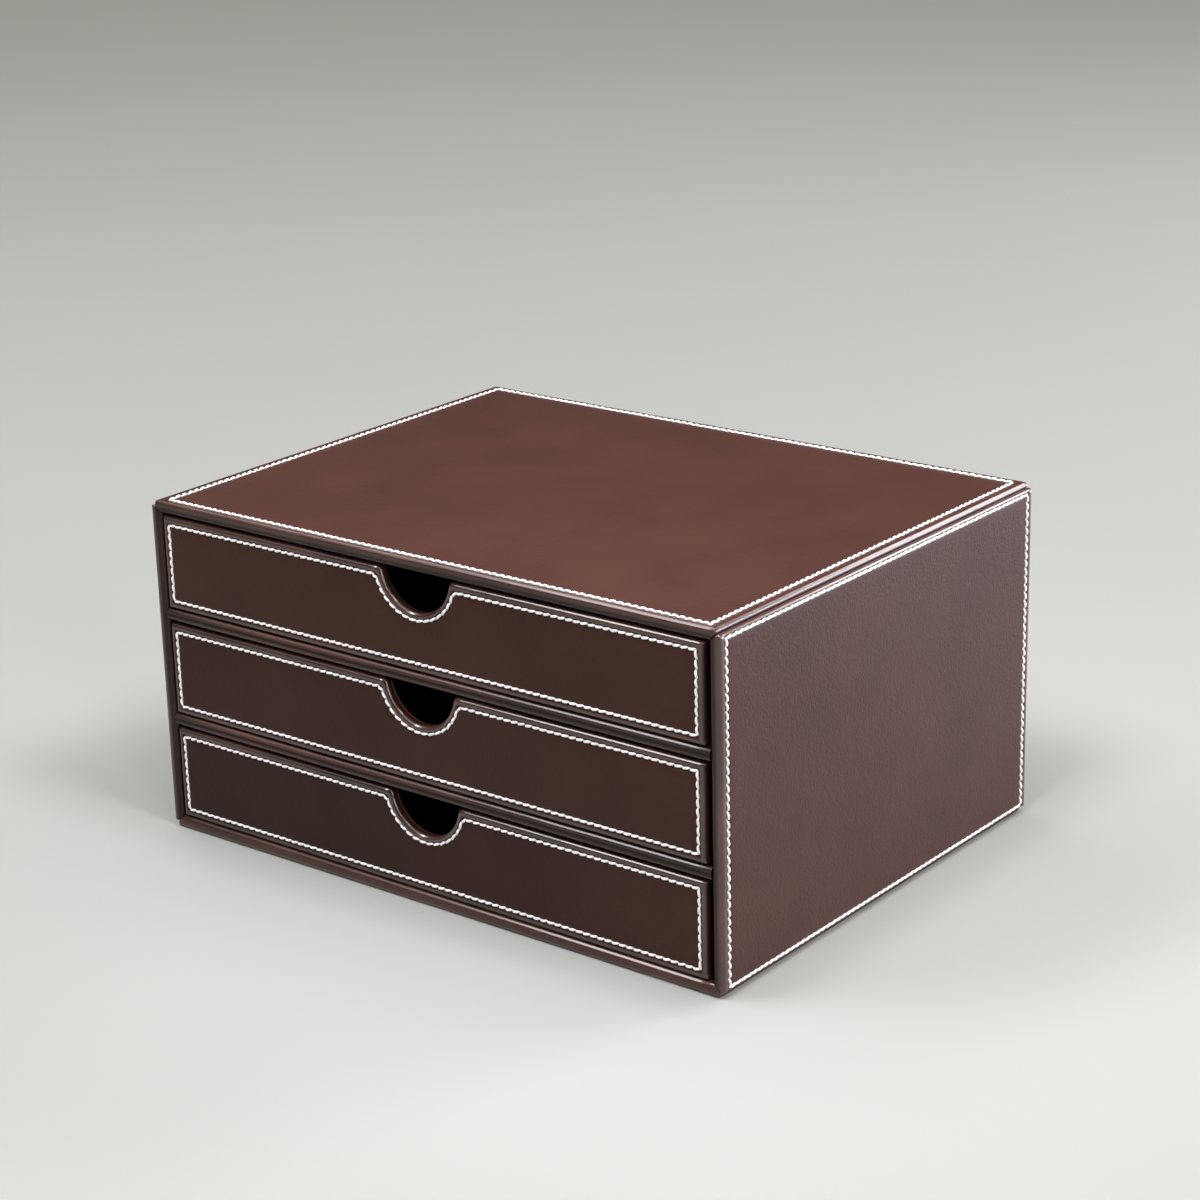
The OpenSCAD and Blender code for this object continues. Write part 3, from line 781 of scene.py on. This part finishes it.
# The bottom's inner edge gets a faint painted warm highlight.
bottomPanel = {"width": boxWidth, "depth": boxDepth, "thick": panelThick, "ends": "mitred", "recessX": 0,
               "recessY": 0, "spacing": 4.0, "felt": True, "innerWear": 0.65, "innerPaintedHighlight": 0.03, "seed": 47.0}
dress(buildBoard("bottom_leather", bottomPanel, places["bottom"]), "cabinet", "leather", "bottom_cover")
for i, level in enumerate(["upper", "lower"]):
    low, high = boxOf(level + "_shelf_cover")
    # Each shelf cover is painted shade all over, with painted warm highlights along its upper and lower front
    # edges.
    shelf = {"width": high.x - low.x, "depth": high.y - low.y, "thick": high.z - low.z, "ends": "flat",
             "recessX": 0, "recessY": 0, "spacing": 4.0, "corner": 0.3, "seed": 53.0 + i,
             "shade": 1.0, "outerWear": 0.5, "between": 0.0, "innerWear": 0.4,
             "outerPaintedHighlight": 0.18, "innerPaintedHighlight": 0.12}
    place = Matrix.Translation((0, (low.y + high.y) / 2, low.z))
    dress(buildBoard(level + "_shelf_leather", shelf, place), "cabinet", "leather", level + "_shelf_cover")
print("bottom and shelves wrapped")

frontLook = {
    "notch": 20.0,  # radius of the finger notch
    "notchRise": 2.0,  # how far its centre lies over the front's top edge
    "notchSeam": 3.4,  # from its edge to its seam
    "turnIn": 8.0,  # leather turned in behind the front's edges
    "notchTurnIn": 6.0,
    "rightPaintedShade": 0.9,  # painted shade on the right edge, beside the wider gap
}
leftPaintedShades = {"upper": 0.05, "middle": 0.25, "lower": 0.55}  # painted shade, darker towards a front's left end
# Painted warm highlight on each notch's rear rim.
rimPaintedHighlights = {"upper": 0.08, "middle": 0.9, "lower": 0.5}
fronts = {}
for i, level in enumerate(levels):
    low, high = boxOf(level + "_drawer_front_cover")
    stitching = level + "_drawer_front_stitching"
    height = high.z - low.z
    front = {"width": high.x - low.x, "depth": height, "thick": high.y - low.y, "ends": "wrapped",
             "seamX": seamHalf(stitching, 0), "seamY": seamHalf(stitching, 2), "recessX": frontLook["turnIn"],
             "recessY": frontLook["turnIn"], "recessNotch": frontLook["notchTurnIn"], "seed": 61.0 + 9 * i,
             "notch": frontLook["notch"], "notchRise": frontLook["notchRise"],
             "notchSeam": frontLook["notchSeam"],
             "rimPaintedHighlight": rimPaintedHighlights[level], "leftPaintedShade": leftPaintedShades[level],
             "rightPaintedShade": frontLook["rightPaintedShade"]}
    inset = height / 2 - front["seamY"] + front["notchRise"]
    seamRadius = front["notch"] + front["notchSeam"]
    front["notchSeamX"] = math.sqrt(seamRadius ** 2 - inset ** 2)
    front["notchSeamTurn"] = math.asin(inset / seamRadius)
    place = Matrix.Translation(((low.x + high.x) / 2, high.y, (low.z + high.z) / 2))
    place = place @ Matrix.Rotation(quarter, 4, "X")
    fronts[level] = (front, place)
    piece = buildBoard(level + "_drawer_front_leather", front, place)
    dress(piece, level + "_drawer", "leather", level + "_drawer_front_cover")
print("drawer fronts wrapped")


# Seams.
stitchLook = {
    "radius": 0.60,  # of the thread
    "length": 0.93,  # of a stitch, as a share of the distance between needle holes
    "slant": 9.0,  # degrees that a stitch leans across its seam
    "slantSpread": 3.0,
    "rise": 0.04,  # of the thread's middle over the leather, halfway between two holes
    "dive": 0.95,  # how far it goes down at the holes
    "taper": 0.30,  # how much thinner it is pulled there
    "plies": 3,
    "lobe": 0.07,  # how far the plies stand out, as a share of the radius
    "twist": 2.6,  # length in which a ply goes once round
    "sides": 10,
    "rings": 9,
    "loose": 0.04,  # unevenness of the hand
    "cutCorner": 1.8,  # the seam turns into the notch with one stitch that starts this far from the corner
}


def addStitch(vertices, faces, middle, along, step, height, look, draw):
    across = Vector((-along.y, along.x, 0))
    up = Vector((0, 0, 1))
    lean = math.radians(look["slant"] + draw.uniform(-look["slantSpread"], look["slantSpread"]))
    heading = along * math.cos(lean) + across * math.sin(lean)
    side = Vector((-heading.y, heading.x, 0))
    shift = across * draw.uniform(-look["loose"], look["loose"])
    rise = height + look["rise"] + draw.uniform(-look["loose"], look["loose"]) / 2
    start = draw.uniform(0, 6)
    first = len(vertices)
    reach = step * look["length"]
    for j in range(look["rings"]):
        share = j / (look["rings"] - 1)
        away = 2 * share - 1
        share = 0.5 + 0.5 * math.copysign(abs(away) ** 0.85, away)
        away = 2 * share - 1
        centre = middle + heading * (reach * (share - 0.5)) + shift
        centre += up * (rise - look["dive"] * abs(away) ** 3.0)
        slope = -look["dive"] * 3.0 * abs(away) ** 2.0 * math.copysign(1, away) * 2 / reach
        normal = (up - heading * slope).normalized()
        radius = look["radius"] * (1 - look["taper"] * away ** 4)
        for n in range(look["sides"]):
            angle = 2 * math.pi * n / look["sides"]
            wind = look["plies"] * angle + start - 2 * math.pi * share * reach / look["twist"]
            lobe = 1 + look["lobe"] * math.cos(wind)
            vertices.append(centre + (side * math.cos(angle) + normal * math.sin(angle)) * radius * lobe)
    for j in range(look["rings"] - 1):
        for n in range(look["sides"]):
            m = (n + 1) % look["sides"]
            a, b = first + j * look["sides"], first + (j + 1) * look["sides"]
            faces.append((a + n, a + m, b + m, b + n))
    last = first + (look["rings"] - 1) * look["sides"]
    faces.append(tuple(first + n for n in reversed(range(look["sides"]))))
    faces.append(tuple(last + n for n in range(look["sides"])))


def sewLine(vertices, faces, start, end, height, look, draw):
    run = (end - start).length
    count = round(run / wrapLook["pitch"])
    along = (end - start).normalized()
    for i in range(count):
        middle = start + along * (run * (i + 0.5) / count)
        addStitch(vertices, faces, middle, along, run / count, height, look, draw)


def sewBoard(name, board, place, seed):
    draw = random.Random(seed)
    vertices, faces = [], []
    x, y, height = board["seamX"], board["seamY"], board["thick"]
    corners = [Vector((-x, y, 0)), Vector((-x, -y, 0)), Vector((x, -y, 0)), Vector((x, y, 0))]
    for a, b in zip(corners, corners[1:]):
        sewLine(vertices, faces, a, b, height, stitchLook, draw)
    if board.get("notch"):
        gap = board["notchSeamX"] + stitchLook["cutCorner"]
        radius = board["notch"] + board["notchSeam"]
        centre = board["depth"] / 2 + board["notchRise"]
        first = board["notchSeamTurn"] + stitchLook["cutCorner"] / radius
        turn = math.pi - 2 * first
        count = round(radius * turn / wrapLook["pitch"])
        sewLine(vertices, faces, corners[3], Vector((gap, y, 0)), height, stitchLook, draw)
        sewLine(vertices, faces, Vector((-gap, y, 0)), corners[0], height, stitchLook, draw)
        for side in (1, -1):
            outer = Vector((side * gap, y, 0))
            inner = Vector((side * radius * math.cos(first), centre - radius * math.sin(first), 0))
            addStitch(vertices, faces, (outer + inner) / 2, (inner - outer).normalized() * side,
                      (inner - outer).length, height, stitchLook, draw)
        for i in range(count):
            angle = -first - turn * (i + 0.5) / count
            spot = Vector((radius * math.cos(angle), centre + radius * math.sin(angle), 0))
            along = Vector((math.sin(angle), -math.cos(angle), 0))
            addStitch(vertices, faces, spot, along, radius * turn / count, height, stitchLook, draw)
    else:
        sewLine(vertices, faces, corners[3], corners[0], height, stitchLook, draw)
    return makePiece(name, vertices, faces, place, sharp=70)


for i, (side, panel) in enumerate(panels.items()):
    piece = sewBoard(side + "_thread", panel, places[side], seed=100 + i)
    dress(piece, "cabinet", "thread", side + "_stitching")
for i, level in enumerate(levels):
    front, place = fronts[level]
    piece = sewBoard(level + "_drawer_front_thread", front, place, seed=200 + i)
    dress(piece, level + "_drawer", "thread", level + "_drawer_front_stitching")
print("seams sewn")


# Trays.
trayLook = {
    "wrapEdge": 0.35,  # radius of the thin leather over the tray's edges
    "linerEdge": 0.30,
    "liningEdge": 0.25,
    "roundSteps": 3,
}


def softened(name, node, radius, steps):
    # A copy of a CAD node with its edges rounded, its flat faces merged first.
    shape = bmesh.new()
    shape.from_mesh(nodes[node].data)
    bmesh.ops.remove_doubles(shape, verts=shape.verts, dist=0.01 * mm)
    bmesh.ops.dissolve_limit(shape, angle_limit=math.radians(2), verts=shape.verts, edges=shape.edges)
    edges = [e for e in shape.edges if len(e.link_faces) == 2 and e.calc_face_angle() > math.radians(40)]
    bmesh.ops.bevel(shape, geom=edges, offset=radius * mm, offset_type="OFFSET", segments=steps, profile=0.5,
                    affect="EDGES", clamp_overlap=True)
    mesh = bpy.data.meshes.new(name)
    shape.to_mesh(mesh)
    shape.free()
    mesh.polygons.foreach_set("use_smooth", [True] * len(mesh.polygons))
    mesh.set_sharp_from_angle(angle=math.radians(35))
    piece = bpy.data.objects.new(name, mesh)
    bpy.context.scene.collection.objects.link(piece)
    return piece


for level in levels:
    for part, slot, radius in [("wrap", "leather", trayLook["wrapEdge"]),
                               ("liner", "velvet", trayLook["linerEdge"]),
                               ("front_lining", "lining", trayLook["liningEdge"])]:
        node = level + "_drawer_" + part
        piece = softened(node + "_sheet", node, radius, trayLook["roundSteps"])
        dress(piece, level + "_drawer", slot, node)
print("trays dressed")


low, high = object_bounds()
print("visual box", [round(c / mm, 2) for c in low], [round(c / mm, 2) for c in high])
